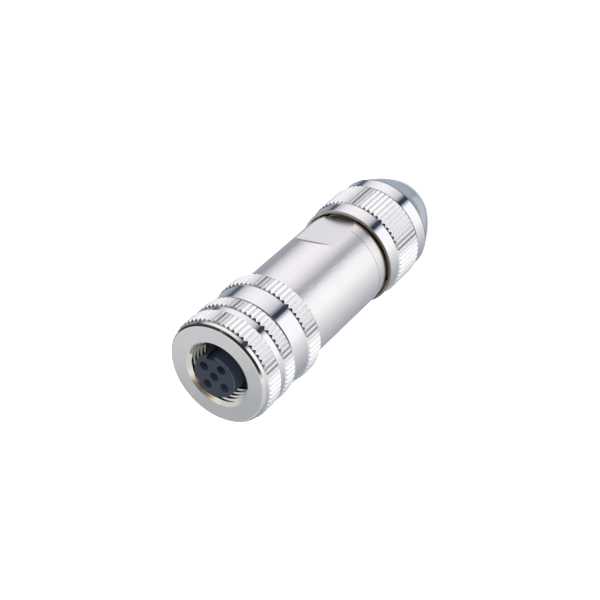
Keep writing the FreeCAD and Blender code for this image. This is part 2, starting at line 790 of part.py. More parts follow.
def build(doc):
    """Make every piece of the connector and return them in order."""
    seal_height = "(%s - 1.25 * seal_groove_start - 2 * head_seal_section)" % HEAD_Z
    face_height = "(%s + bush_flange_len)" % FLANGE_Z
    pieces = [
        pressing_nut(doc),
        clamping_cage(doc),
        thrust_washer(doc),
        gland_seal(doc),
        shell(doc),
        spacer_sleeve(doc),
        screen_clamp(doc),
        carrier_sleeve(doc),
        seal_ring(doc, "carrier_seal", seal_height, GROOVE_RAD, "head_seal_section"),
        terminal_block(doc),
        terminal_screws(doc),
    ]
    pieces.extend(make_contacts(doc))
    pieces.append(contact_insert(doc))
    pieces.append(front_bushing(doc))
    pieces.append(seal_ring(doc, "face_seal", face_height, "nose_radius", "face_seal_section"))
    pieces.append(nut_snap_ring(doc))
    pieces.append(coupling_nut(doc))
    return pieces


def check(doc, pieces):
    """Stop on any feature in error and on any shape that is not a sound solid."""
    for obj in doc.Objects:
        if "Invalid" in obj.State or "Error" in obj.State:
            raise ValueError("feature in error: " + obj.Name)
    for piece in pieces:
        shape = piece.Shape
        if shape.isNull() or not shape.isValid() or not shape.Solids:
            raise ValueError("unsound shape: " + piece.Label)


def main():
    doc = FreeCAD.newDocument("m12_connector")
    make_sheet(doc)
    pieces = build(doc)
    doc.recompute()
    check(doc, pieces)
    os.makedirs("parts", exist_ok=True)
    for piece in pieces:
        piece.Shape.exportStep("parts/%s.step" % piece.Label)
        box = piece.Shape.BoundBox
        print("%-16s solids %d volume %8.1f z %.2f to %.2f" % (
            piece.Label, len(piece.Shape.Solids), piece.Shape.Volume, box.ZMin, box.ZMax))


main()
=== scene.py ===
"""Looks of the M12 connector: knurled nickel-plated turnings, satin shell, dark insert."""
import logging
import math
from dataclasses import dataclass, field
from enum import Enum
from typing import Any, Optional

import bmesh
import bpy
from bmesh.types import BMEdge, BMesh
from bpy.types import Material, MeshPolygon, Node, NodeSocket, NodeTree, Object
from mathutils import Matrix, Vector


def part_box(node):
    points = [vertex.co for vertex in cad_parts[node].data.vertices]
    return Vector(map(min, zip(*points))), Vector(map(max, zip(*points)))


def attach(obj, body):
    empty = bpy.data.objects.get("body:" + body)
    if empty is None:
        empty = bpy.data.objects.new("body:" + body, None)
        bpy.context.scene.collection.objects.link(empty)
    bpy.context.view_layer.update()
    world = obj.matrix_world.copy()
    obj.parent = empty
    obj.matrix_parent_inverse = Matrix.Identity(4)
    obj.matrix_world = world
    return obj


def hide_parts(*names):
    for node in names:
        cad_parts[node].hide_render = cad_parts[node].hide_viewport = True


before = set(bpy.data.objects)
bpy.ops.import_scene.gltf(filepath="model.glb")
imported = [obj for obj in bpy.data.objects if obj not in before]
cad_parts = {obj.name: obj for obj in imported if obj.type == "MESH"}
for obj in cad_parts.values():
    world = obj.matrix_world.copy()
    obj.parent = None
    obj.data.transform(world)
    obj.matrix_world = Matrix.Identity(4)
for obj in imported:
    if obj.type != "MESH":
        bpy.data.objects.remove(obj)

Pair = tuple[float, float]
Triple = tuple[float, float, float]
Stops = list[tuple[float, str]]

MM = 0.001
LOG = logging.getLogger("m12_connector")
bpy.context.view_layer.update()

# Height of a surface grain as a share of its size
GRAIN_HEIGHT = 0.3
# Scale across the axis that draws a grain out into lathe rings
RING_STRETCH = 0.02


def linear(colour: str) -> tuple[float, float, float, float]:
    """Turn an sRGB hex colour into linear light.

    Args:
        colour: Six hex digits after a hash sign.

    Returns:
        Linear red, green, blue and an alpha of one.
    """
    parts = [int(colour[i:i + 2], 16) / 255 for i in (1, 3, 5)]
    low = [p / 12.92 if p <= 0.04045 else ((p + 0.055) / 1.055) ** 2.4 for p in parts]
    return low[0], low[1], low[2], 1.0


def clean_tree(owner: Any) -> NodeTree:
    """Return the node tree of a material or a world, emptied."""
    owner.use_nodes = True
    owner.node_tree.nodes.clear()
    return owner.node_tree


def add_node(tree: NodeTree, kind: str, settings: Optional[dict[Any, Any]] = None,
             links: Optional[dict[Any, Any]] = None) -> Node:
    """Add one node with its settings and links.

    Args:
        tree: Node tree that gets the node.
        kind: Blender's name of the node type, without ShaderNode in front.
        settings: Node properties, or input names or numbers, with their values.
        links: Input names or numbers with the sockets that feed them, or with a node whose
            first output does.

    Returns:
        The new node.
    """
    node = tree.nodes.new("ShaderNode" + kind)
    for key, value in (settings or {}).items():
        if isinstance(key, str) and hasattr(node, key):
            setattr(node, key, value)
        else:
            node.inputs[key].default_value = value
    for key, source in (links or {}).items():
        tree.links.new(source.outputs[0] if isinstance(source, Node) else source,
                       node.inputs[key])
    return node


def add_ramp(tree: NodeTree, value: NodeSocket, stops: Stops) -> NodeSocket:
    """Add a colour ramp.

    Args:
        tree: Node tree that gets the ramp.
        value: Socket that runs from 0 to 1.
        stops: Place from 0 to 1 and sRGB hex colour of each stop.

    Returns:
        Socket with the colour.
    """
    node = add_node(tree, "ValToRGB", None, {0: value})
    ramp = node.color_ramp
    while len(ramp.elements) > 1:
        ramp.elements.remove(ramp.elements[-1])
    for number, (place, colour) in enumerate(stops):
        element = ramp.elements[0] if number == 0 else ramp.elements.new(place)
        element.position = place
        element.color = linear(colour)
    return node.outputs[0]


def add_fade(tree: NodeTree, value: NodeSocket, ends: Pair) -> NodeSocket:
    """Add a smooth fade.

    Args:
        tree: Node tree that gets the fade.
        value: Socket that is measured.
        ends: Values where the fade is zero and where it is one.

    Returns:
        Socket that runs smoothly from 0 to 1.
    """
    return add_node(tree, "MapRange",
                    {"interpolation_type": "SMOOTHSTEP", "From Min": ends[0],
                     "From Max": ends[1]}, {"Value": value}).outputs[0]


class Grain(Enum):
    """How the skin of a finish breaks the light."""

    TURNED = "fine rings left by the lathe"
    BLASTED = "even pits left by bead blasting"
    MOULDED = "soft grain of a spark-eroded mould"


@dataclass(frozen=True)
class Finish:
    """One procedural finish of the connector.

    Attributes:
        name: Name of the real material.
        colour: Main sRGB colour.
        tint: Second sRGB colour that drifts over the surface.
        roughness: Mean roughness.
        spread: How far the roughness drifts to each side.
        metallic: One for plate, less where it is dulled, zero for plastic and rubber.
        grain: Kind of surface relief.
        grain_mm: Size of the relief in millimetres.
        relief: Strength of the relief.
        drift_mm: Size of the slow colour drift in millimetres.
        specular: Level of the plain reflection, 0.5 for an IOR of 1.5.
        lean: Share per millimetre, along each axis, by which the colour leans to the tint, which
            paints shade on one side.
    """

    name: str
    colour: str
    tint: str
    roughness: float
    spread: float
    metallic: float
    grain: Grain
    grain_mm: float
    relief: float
    drift_mm: float = 6.0
    specular: float = 0.5
    lean: Triple = (0.0, 0.0, 0.0)

    def material(self) -> Material:
        """Return the material, built when it is first asked for.

        Returns:
            A material named after the real one.
        """
        known = bpy.data.materials.get(self.name)
        if known:
            return known
        material = bpy.data.materials.new(self.name)
        tree = clean_tree(material)
        place = add_node(tree, "TexCoord").outputs["Object"]
        drift = add_node(tree, "TexNoise",
                         {"Scale": 1 / (self.drift_mm * MM), "Detail": 3.0, "Roughness": 0.55},
                         {"Vector": place}).outputs["Fac"]
        # Painted shade: the colour leans to the tint along one direction.
        lean = add_node(tree, "VectorMath",
                        {"operation": "DOT_PRODUCT", 1: tuple(part / MM for part in self.lean)},
                        {0: place}).outputs["Value"]
        share = add_node(tree, "Math", {"operation": "ADD"}, {0: drift, 1: lean})
        colour = add_node(tree, "Mix", {"data_type": "RGBA", 6: linear(self.colour),
                                        7: linear(self.tint)}, {0: share})
        rough = add_node(tree, "MapRange", {"To Min": self.roughness - self.spread,
                                            "To Max": self.roughness + self.spread},
                         {"Value": drift})
        bump = add_node(tree, "Bump", {"Strength": self.relief,
                                       "Distance": self.grain_mm * MM * GRAIN_HEIGHT},
                        {"Height": self.relief_node(tree, place)})
        shader = add_node(tree, "BsdfPrincipled",
                          {"Metallic": self.metallic, "Specular IOR Level": self.specular},
                          {"Base Color": colour.outputs[2], "Roughness": rough, "Normal": bump})
        add_node(tree, "OutputMaterial", None, {"Surface": shader})
        return material

    def relief_node(self, tree: NodeTree, place: NodeSocket) -> NodeSocket:
        """Make the height of the surface grain.

        Args:
            tree: Node tree of the material.
            place: Object coordinates.

        Returns:
            Socket with the height.
        """
        if self.grain is Grain.TURNED:
            place = add_node(tree, "Mapping", {"Scale": (RING_STRETCH, RING_STRETCH, 1.0)},
                             {"Vector": place}).outputs["Vector"]
        return add_node(tree, "TexNoise",
                        {"Scale": 1 / (self.grain_mm * MM), "Detail": 2.0, "Roughness": 0.6},
                        {"Vector": place}).outputs["Fac"]


# Bright nickel over turned brass: a mirror with a breath of blue and faint lathe rings.
POLISHED_NICKEL = Finish(
    "bright_nickel_plated_brass", "#eaeaec", "#e2e2e6", 0.045, 0.012, 1.0, Grain.TURNED, 0.05,
    0.015)
# The same plate on the ring face: a flatter, softly mottled grey, with painted shade that darkens
# it toward -X.
FACE_NICKEL_PAINTED_SHADE = Finish(
    "faced_nickel_plate_painted_shade", "#dddde0", "#bec1c5", 0.32, 0.03, 1.0, Grain.BLASTED, 0.16, 0.05,
    9.0, 0.5, (-0.075, -0.010, 0.0))
# Rolled teeth: the same plate, so soft that each flank holds one broad stripe of light.
KNURLED_NICKEL = Finish(
    "knurled_nickel_plated_brass", "#f6f6f7", "#eeeef0", 0.26, 0.03, 1.0, Grain.TURNED, 0.05,
    0.015)
# Blasted before plating: the same streaks of light, blurred wide, with a fine mottle.
SATIN_NICKEL = Finish(
    "satin_nickel_plated_brass", "#f0eeee", "#e8e6e8", 0.31, 0.03, 0.95, Grain.BLASTED, 0.4, 0.40)
# Thin darker grey line painted as shade where the tail of the shell meets its cylinder.
EDGE_LINE_PAINTED_SHADE = Finish(
    "edge_line_painted_shade", "#a3a6ac", "#8f939a", 0.3, 0.03, 1.0, Grain.BLASTED, 0.3, 0.1)
# Lip turned bright after blasting, a little warm where the brass breathes through.
LIP_NICKEL = Finish(
    "bare_turned_lip", "#ece6dd", "#e2dbd0", 0.22, 0.03, 1.0, Grain.TURNED, 0.06, 0.04)
# Front rim of the pressing nut, left as cut: warm grey, with painted shade that turns it
# brown-grey toward -Y.
RIM_NICKEL_PAINTED_SHADE = Finish(
    "turned_rim_painted_shade", "#aaa59d", "#665d55", 0.30, 0.04, 0.6, Grain.TURNED, 0.06, 0.06, 6.0, 0.5,
    (0.0, -0.055, 0.0))
# Neck in the mouth of the pressing nut: metal painted a dark brown grey as painted shade of the
# gap.
NECK_PAINTED_SHADE = Finish(
    "neck_painted_shade", "#6b5f59", "#564b47", 0.45, 0.05, 0.5, Grain.TURNED, 0.06, 0.06)
# Turned step between dome and band, and the band beside the knurl: a thin dark line of painted
# shade.
STEP_LINE_PAINTED_SHADE = Finish(
    "step_line_painted_shade", "#3e424a", "#31353d", 0.3, 0.04, 1.0, Grain.TURNED, 0.06, 0.05)
# Bevel in the mouth, with the fine lines where the thread runs out.
MOUTH_NICKEL = Finish(
    "turned_mouth_bevel", "#e6e5e1", "#d8d6d1", 0.08, 0.02, 1.0, Grain.TURNED, 0.14, 0.5)
# Run-out of the mill, painted darker grey as shade: a darker line at the head of each wrench flat.
RUN_OUT_PAINTED_SHADE = Finish(
    "run_out_painted_shade", "#8d9097", "#7d8188", 0.35, 0.04, 1.0, Grain.BLASTED, 0.15, 0.06)
# Plate of the thread in the mouth and of the bushing, with painted shade that greys it toward +X
# and +Y.
DULL_NICKEL_PAINTED_SHADE = Finish(
    "dull_nickel_painted_shade", "#e8e8e8", "#8d8f87", 0.18, 0.05, 1.0, Grain.TURNED, 0.05, 0.05, 6.0, 0.5,
    (0.069, 0.059, 0.0))
# Gold flash over nickel on the contacts: warm and slightly soft.
GOLD = Finish(
    "gold_plated_copper_alloy", "#e3bd62", "#d8ae50", 0.2, 0.04, 1.0, Grain.TURNED, 0.05, 0.03)
# Glass-filled polyamide: blue-black with a soft moulded sheen.
INSERT_PLASTIC = Finish(
    "moulded_black_polyamide", "#1c232e", "#181e28", 0.42, 0.05, 0.0, Grain.MOULDED, 0.09, 0.12,
    3.0, 0.3)
# Walls of the insert, its slot and its holes: the same plastic painted a lighter blue-grey as
# painted light, with painted shade near black on the key side.
INSERT_WALL_PAINTED_LIGHT_AND_SHADE = Finish(
    "black_polyamide_painted_light_and_shade", "#2f3642", "#191e27", 0.5, 0.05, 0.0, Grain.MOULDED, 0.12, 0.1, 6.0,
    0.3, (0.09, 0.0, 0.0))
# Rounded rim of the insert: glossier in patches, with lighter specks painted as highlights.
INSERT_RIM_PAINTED_HIGHLIGHTS = Finish(
    "black_polyamide_painted_highlights", "#3f4856", "#1a2029", 0.3, 0.1, 0.0, Grain.MOULDED, 0.12, 0.3, 0.8,
    0.4)
# Block behind the insert, plainer black.
BLOCK_PLASTIC = Finish(
    "moulded_black_block", "#23252a", "#1d1f24", 0.5, 0.05, 0.0, Grain.MOULDED, 0.12, 0.15)
# Nitrile rubber: near black, dull.
RUBBER = Finish(
    "nitrile_rubber", "#1b1c1f", "#232427", 0.62, 0.05, 0.0, Grain.MOULDED, 0.15, 0.1)
# Cage of dark nylon.
NYLON_DARK = Finish(
    "dark_nylon", "#3a3c42", "#33353a", 0.5, 0.05, 0.0, Grain.MOULDED, 0.12, 0.1)
# Washer and spacer of natural nylon, slightly warm.
NYLON_NATURAL = Finish(
    "natural_nylon", "#d9d5c8", "#cfcabb", 0.45, 0.05, 0.0, Grain.MOULDED, 0.12, 0.1)
# Spring bronze of the screen clamp under thin nickel.
SCREEN_METAL = Finish(
    "nickel_plated_bronze", "#cfcabd", "#c4bfb2", 0.3, 0.05, 1.0, Grain.TURNED, 0.05, 0.04)
# Stainless spring wire and screws.
STEEL = Finish(
    "stainless_steel", "#c4c6c9", "#b5b8bc", 0.25, 0.05, 1.0, Grain.TURNED, 0.05, 0.04)


# One tooth of the knurl, a straight V with an eased crest: shares of the pitch and the height
TOOTH = ((0.0, 0.0), (0.05, 0.12), (0.37, 0.86), (0.45, 1.0),
         (0.55, 1.0), (0.63, 0.86), (0.95, 0.12))
# How far the roots of the teeth stand above the smooth band, in mm
TOOTH_ROOT = 0.03
# Rise of one turn of every thread, in mm
PITCH = 1.0
# Crest and flank of a thread, as shares of half its pitch
THREAD_FLAT, THREAD_FLANK = 0.125, 0.625
# Rows of points for each turn of the thread in the mouth and of the threads on the necks
MOUTH_ROWS, NECK_ROWS = 16, 8
# Material index of a thread
THREAD_INDEX = 1
# Angles between faces: below the first an edge is smooth, above the others broken or crisp
SMOOTH_BELOW, BROKEN_ABOVE, CRISP_ABOVE = 0.04, 0.3, 0.75
# The same for a piece that was cut: above the first crisp, above the second broken
CUT_CRISP, CUT_BROKEN = 0.35, 0.6
# Slope below which an edge lies across the axis
ACROSS_BELOW = 0.2
# Points closer than this in metres become one, in a turned mesh and in a cut one
TURNED_MERGE, CUT_MERGE = 2e-7, 1e-6
# Length in metres that counts as nothing, and decimals of a height in mm that count
NOTHING, DECIMALS = 1e-7, 4
# Tolerances in mm for telling on which surface a face lies
HAIR, NEAR, MARGIN, BEVEL_MARGIN, WALL_MARGIN = 0.001, 0.01, 0.02, 0.03, 0.1
# Shares of a face's normal along an axis, from square on it to barely leaning to it
LEVEL, UPWARD, SIDEWAYS, SLOPING = 0.97, 0.9, 0.5, 0.3


def mesh_object(name: str, shape: BMesh) -> Object:
    """Turn a mesh under construction into an object of the scene.

    Args:
        name: Name of the object.
        shape: The mesh, which is freed.

    Returns:
        The new object.
    """
    mesh = bpy.data.meshes.new(name)
    shape.to_mesh(mesh)
    shape.free()
    piece = bpy.data.objects.new(name, mesh)
    bpy.context.scene.collection.objects.link(piece)
    return piece


def bend(edge: BMEdge) -> float:
    """Return the angle between the two faces of an edge, or zero."""
    return edge.calc_face_angle(0.0) if len(edge.link_faces) == 2 else 0.0


def reach(face: MeshPolygon) -> float:
    """Return how far the centre of a face lies from the axis, in millimetres."""
    return math.hypot(face.center.x, face.center.y) / MM


class Edge(Enum):
    """What happens to the edge at a circle of a turned piece."""

    BROKEN = "rounded by a small bevel"
    SOFT = "no edge, the surface runs on"
    CRISP = "left as cut"


@dataclass
class Turning:
    """Mesh of a piece turned on the lathe, with teeth where it is knurled.

    Attributes:
        name: Name of the piece.
        base: Height of the piece's own zero in millimetres.
        teeth: Teeth around the piece.
        tooth: Height of a tooth in millimetres.
        bevel: Length of the bevel at its ends.
        rows: Height and radius of the points of each row, around the piece.
        edges: What happens to the edge at each height in millimetres.
        thread_rows: Numbers of the rows that belong to a thread.
    """

    name: str
    base: float
    teeth: int = 64
    tooth: float = 0.35
    bevel: float = 0.4
    rows: list[list[Pair]] = field(default_factory=list)
    edges: dict[float, Edge] = field(default_factory=dict)
    thread_rows: set[int] = field(default_factory=set)

    def angles(self) -> list[float]:
        """Return the column angles, tooth by tooth, with the seam twice."""
        pitch = 2 * math.pi / self.teeth
        found = [pitch * (tooth + share) for tooth in range(self.teeth) for share, _ in TOOTH]
        return found + [2 * math.pi]

    def add_circles(self, *places: Pair, edge: Edge = Edge.BROKEN) -> None:
        """Add plain circles.

        Args:
            places: Height above the piece's zero and radius of each, in millimetres.
            edge: What happens to the edge there.
        """
        for height, radius in places:
            self.edges[round(self.base + height, DECIMALS)] = edge
            self.rows.append([(height, radius)] * len(self.angles()))

    def add_arc(self, start: Pair, end: Pair, radius: float,
                steps: int) -> None:
        """Add the circles of a bulging arc between two points of the outline.

        Args:
            start: Height and radius where the arc starts.
            end: Height and radius where the arc ends.
            radius: Radius of the arc itself.
            steps: Number of stretches.
        """
        first, last = Vector(start), Vector(end)
        chord = last - first
        offset = math.sqrt(radius ** 2 - (chord.length / 2) ** 2)
        normal = Vector((chord.y, -chord.x)).normalized()
        centre = (first + last) / 2 + normal * offset
        begin = math.atan2(first.y - centre.y, first.x - centre.x)
        finish = math.atan2(last.y - centre.y, last.x - centre.x)
        for step in range(steps + 1):
            turn = begin + (finish - begin) * step / steps
            self.add_circles((centre.x + radius * math.cos(turn),
                              centre.y + radius * math.sin(turn)),
                             edge=Edge.SOFT if 0 < step < steps else Edge.BROKEN)

    def add_knurl(self, low: float, high: float, band: float) -> None:
        """Add a straight V knurl with bevelled tooth ends.

        Args:
            low: Height where the knurl starts.
            high: Height where it ends.
            band: Radius of the smooth band beside it.
        """
        self.add_circles((low, band), edge=Edge.CRISP)
        for edge, inward in ((low, 1.0), (high, -1.0)):
            row = []
            for number in range(len(self.angles())):
                lift = TOOTH_ROOT + (self.tooth - TOOTH_ROOT) * TOOTH[number % len(TOOTH)][1]
                row.append((edge + inward * self.bevel * lift / self.tooth, band + lift))
            self.rows.append(row)
        self.add_circles((high, band), edge=Edge.CRISP)

    def add_thread(self, high: float, low: float, crest: float, root: float, mouth: float,
                   slope: float, relief: float) -> None:
        """Add an internal thread with a bevelled mouth, from the mouth down.

        Args:
            high: Height of the mouth.
            low: Height where the thread ends.
            crest: Smallest radius of the thread.
            root: Largest radius of the thread.
            mouth: Radius of the mouth.
            slope: Loss of radius for each millimetre into the mouth bevel.
            relief: Radius where the thread ends.
        """
        columns = self.angles()
        for number in range(int((high - low + 2 * PITCH) / PITCH * MOUTH_ROWS) + 1):
            place = high + PITCH - number * PITCH / MOUTH_ROWS
            depth = self.thread_share(place / PITCH)
            row = []
            for angle in columns:
                height = place + PITCH * angle / (2 * math.pi)
                radius = root - (root - crest) * depth if height > low else relief
                height = min(high, max(low, height))
                radius = max(radius, mouth - slope * (high - height))
                row.append((height, radius))
            self.thread_rows.add(len(self.rows))
            self.rows.append(row)

    def add_outer_thread(self, low: float, high: float, crest: float, depth: float) -> None:
        """Add a right-handed external thread that fades out at both ends, from the low end up.

        Args:
            low: Height where the thread starts.
            high: Height where it ends.
            crest: Largest radius of the thread.
            depth: Depth of the thread.
        """
        columns = self.angles()
        for number in range(int((high - low + 2 * PITCH) / PITCH * NECK_ROWS) + 1):
            place = low - PITCH + number * PITCH / NECK_ROWS
            cut = depth * self.thread_share(place / PITCH)
            row = []
            for angle in columns:
                height = min(high, max(low, place + PITCH * angle / (2 * math.pi)))
                fade = min(1.0, (height - low) / PITCH, (high - height) / PITCH)
                row.append((height, crest - cut * fade))
            self.thread_rows.add(len(self.rows))
            self.rows.append(row)

    @staticmethod
    def thread_share(turns: float) -> float:
        """Return the share of a thread's depth at a height counted in turns."""
        swing = abs(turns % 1.0 - 0.5) * 2
        return min(1.0, max(0.0, (swing - THREAD_FLAT) / THREAD_FLANK))

    def build(self, edge_mm: float) -> Object:
        """Turn the rows into one closed mesh.

        Args:
            edge_mm: Width of the small bevel that breaks the edges.

        Returns:
            The new object, with smooth faces and broken edges.
        """
        columns = self.angles()
        shape = bmesh.new()
        grid = []
        for row in self.rows:
            grid.append([shape.verts.new((radius * MM * math.cos(angle),
                                          radius * MM * math.sin(angle),
                                          (self.base + height) * MM))
                         for (height, radius), angle in zip(row, columns)])
        for number, line in enumerate(grid):
            after = (number + 1) % len(grid)
            threaded = number in self.thread_rows and after in self.thread_rows
            for column in range(len(columns) - 1):
                face = shape.faces.new((line[column], line[column + 1],
                                        grid[after][column + 1], grid[after][column]))
                face.material_index = THREAD_INDEX if threaded else 0
                face.smooth = True
        bmesh.ops.remove_doubles(shape, verts=shape.verts, dist=TURNED_MERGE)
        bmesh.ops.dissolve_degenerate(shape, edges=shape.edges, dist=NOTHING)
        bmesh.ops.recalc_face_normals(shape, faces=shape.faces)
        self.mark(shape)
        piece = mesh_object(self.name, shape)
        break_edges(piece, edge_mm)
        return piece

    def mark(self, shape: BMesh) -> None:
        """Mark which edges are broken by a bevel and which stay crisp.

        Args:
            shape: Mesh of the turned piece.
        """
        weight = shape.edges.layers.float.new("bevel_weight_edge")
        for edge in shape.edges:
            angle = bend(edge)
            first, last = edge.verts
            level = abs(first.co.z - last.co.z) < NOTHING
            kind = self.edges.get(round(first.co.z / MM, DECIMALS)) if level else None
            if angle < SMOOTH_BELOW or kind is Edge.SOFT:
                continue
            threaded = any(face.material_index == THREAD_INDEX for face in edge.link_faces)
            across = abs((first.co - last.co).normalized().z) < ACROSS_BELOW
            if level and angle > BROKEN_ABOVE and not threaded and kind is not Edge.CRISP:
                edge[weight] = 1.0
            elif threaded or across or angle > CRISP_ABOVE:
                edge.smooth = False

    @staticmethod
    def finish_teeth(piece: Object, band: float, index: int) -> None:
        """Give the teeth of the knurls their own finish.

        Args:
            piece: Turned piece.
            band: Radius of the smooth bands in millimetres.
            index: Material index of the teeth.
        """
        for face in piece.data.polygons:
            if reach(face) > band + MARGIN:
                face.material_index = index


def break_edges(piece: Object, edge_mm: float) -> None:
    """Break the marked edges with a small rounded bevel.

    Args:
        piece: Object whose edges carry bevel weights.
        edge_mm: Width of the bevel in millimetres.
    """
    bevel = piece.modifiers.new("broken_edges", "BEVEL")
    bevel.limit_method = "WEIGHT"
    bevel.width = edge_mm * MM
    bevel.segments = 2
    bevel.harden_normals = True
    bevel.use_clamp_overlap = True


def dress(piece: Object, finishes: tuple[Finish, ...], body: str,
          node: str) -> None:
    """Give a piece its finishes and its place in the connector.

    Args:
        piece: The new object.
        finishes: One finish for each material index.
        body: Body that it moves with.
        node: Solid that it stands for.
    """
    indices = [face.material_index for face in piece.data.polygons]
    piece.data.materials.clear()
    for finish in finishes:
        piece.data.materials.append(finish.material())
    piece.data.polygons.foreach_set("material_index", indices)
    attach(piece, body)
    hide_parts(node)
    LOG.info("%s: %d faces", piece.name, len(piece.data.polygons))


@dataclass
class CouplingNut:
    """Knurled coupling nut with the M12 x 1 thread that shows in its mouth."""

    length: float = 8.8
    band: float = 9.65
    rear_knurl: float = 2.9
    groove: float = 1.2
    front_knurl: float = 3.6
    edge: float = 0.4
    edge_facet: float = 0.05
    crest: float = 5.46
    root: float = 6.0
    mouth: float = 6.3
    mouth_slope: float = 1.73
    relief: float = 5.9
    thread_end: float = 4.0
    hub: float = 1.1
    hub_bore: float = 4.9
    mouth_gap: float = 0.02
    broken: float = 0.09
    finishes: tuple[Finish, ...] = (POLISHED_NICKEL, DULL_NICKEL_PAINTED_SHADE, FACE_NICKEL_PAINTED_SHADE, MOUTH_NICKEL,
                                    KNURLED_NICKEL)

    def build(self) -> None:
        """Build and dress the nut."""
        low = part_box("coupling_nut")[0].z / MM
        nut = Turning("coupling_nut_turning", low)
        nut.add_circles((0.0, self.hub_bore))
        start = self.rear_knurl + self.groove
        nut.add_knurl(0.0, self.rear_knurl, self.band)
        nut.add_knurl(start, start + self.front_knurl, self.band)
        nut.add_circles((self.length - self.edge, self.band),
                        (self.length - self.edge_facet,
                         self.band - self.edge + self.edge_facet),
                        (self.length, self.band - self.edge - 2 * self.edge_facet),
                        edge=Edge.CRISP)
        nut.add_circles((self.length, self.mouth + self.mouth_gap))
        nut.add_thread(self.length, self.thread_end, self.crest, self.root, self.mouth,
                       self.mouth_slope, self.relief)
        nut.add_circles((self.thread_end, self.relief), (self.hub, self.relief),
                        (self.hub, self.hub_bore))
        piece = nut.build(self.broken)
        front, bevel = (self.finishes.index(kind) for kind in (FACE_NICKEL_PAINTED_SHADE, MOUTH_NICKEL))
        for face in piece.data.polygons:
            drop = self.length - (face.center.z / MM - low)
            # The ring face takes the faced finish, whose darker side is painted shade.
            if face.normal.z > LEVEL and drop < NEAR:
                face.material_index = front
            elif (face.material_index == THREAD_INDEX
                  and abs(reach(face) + self.mouth_slope * drop - self.mouth) < BEVEL_MARGIN):
                face.material_index = bevel
        nut.finish_teeth(piece, self.band, self.finishes.index(KNURLED_NICKEL))
        dress(piece, self.finishes, "coupling_nut", "coupling_nut")


@dataclass
class CarrierSleeve:
    """Smooth polished band and knurl between the coupling nut and the shell."""

    neck: float = 6.1
    neck_radius: float = 7.55
    neck_edge: float = 0.4
    bore: float = 6.3
    web_bore: float = 4.9
    web: float = 1.9
    band: float = 9.7
    knurl: float = 3.75
    smooth: float = 4.05
    edge: float = 0.15
    groove_low: float = 1.175
    groove_high: float = 0.25
    groove_radius: float = 6.9
    thread_gap: float = 0.35
    thread_depth: float = 0.4
    broken: float = 0.06

    def build(self) -> None:
        """Build and dress the sleeve."""
        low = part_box("carrier_sleeve")[0].z / MM + self.neck
        front = self.knurl + self.smooth
        sleeve = Turning("carrier_sleeve_turning", low)
        sleeve.add_circles((-self.neck, self.bore),
                           (-self.neck, self.neck_radius - self.neck_edge))
        sleeve.add_outer_thread(-self.neck + self.neck_edge, -self.groove_low - self.thread_gap,
                                self.neck_radius, self.thread_depth)
        sleeve.add_circles((-self.groove_low, self.neck_radius),
                           (-self.groove_low, self.groove_radius),
                           (-self.groove_high, self.groove_radius),
                           (-self.groove_high, self.neck_radius), (0.0, self.neck_radius))
        sleeve.add_knurl(0.0, self.knurl, self.band)
        sleeve.add_circles((front - self.edge, self.band), (front, self.band - self.edge),
                           (front, self.web_bore), (front - self.web, self.web_bore),
                           (front - self.web, self.bore))
        piece = sleeve.build(self.broken)
        sleeve.finish_teeth(piece, self.band, THREAD_INDEX)
        dress(piece, (POLISHED_NICKEL, KNURLED_NICKEL), "head_sleeve",
              "carrier_sleeve")


